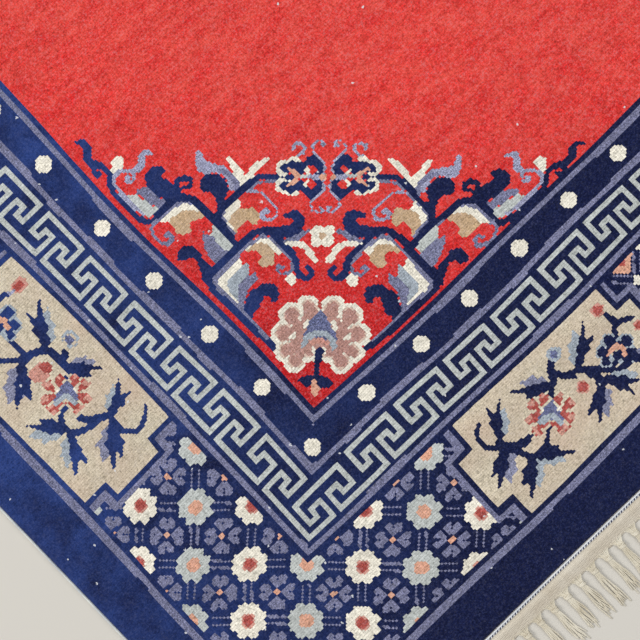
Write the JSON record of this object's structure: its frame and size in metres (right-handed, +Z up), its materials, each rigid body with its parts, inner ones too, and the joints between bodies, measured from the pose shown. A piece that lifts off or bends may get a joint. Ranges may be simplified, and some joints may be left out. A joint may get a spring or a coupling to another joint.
{
  "type": "chinese art deco rug",
  "caption": "Hand-knotted wool rug laid flat, with overcast long sides and knotted cotton fringe at both short ends.",
  "frame": {"origin": "centre of the rug's underside, on the floor", "axes": "+X across the rug, +Y along it towards the back fringe, +Z up out of the pile"},
  "size_m": [2.4547, 3.2636, 0.012],
  "materials": {
    "pile": "cut wool pile, navy border with a red field, softly worn",
    "selvedge": "overcast pale cotton yarn, matt",
    "cotton": "undyed cotton, flat woven and knotted, matt"
  },
  "bodies": {
    "root": {"rug_body": "pile", "selvedge_left": "selvedge", "selvedge_right": "selvedge", "fringe_front": "cotton", "fringe_back": "cotton"}
  },
  "joints": []
}
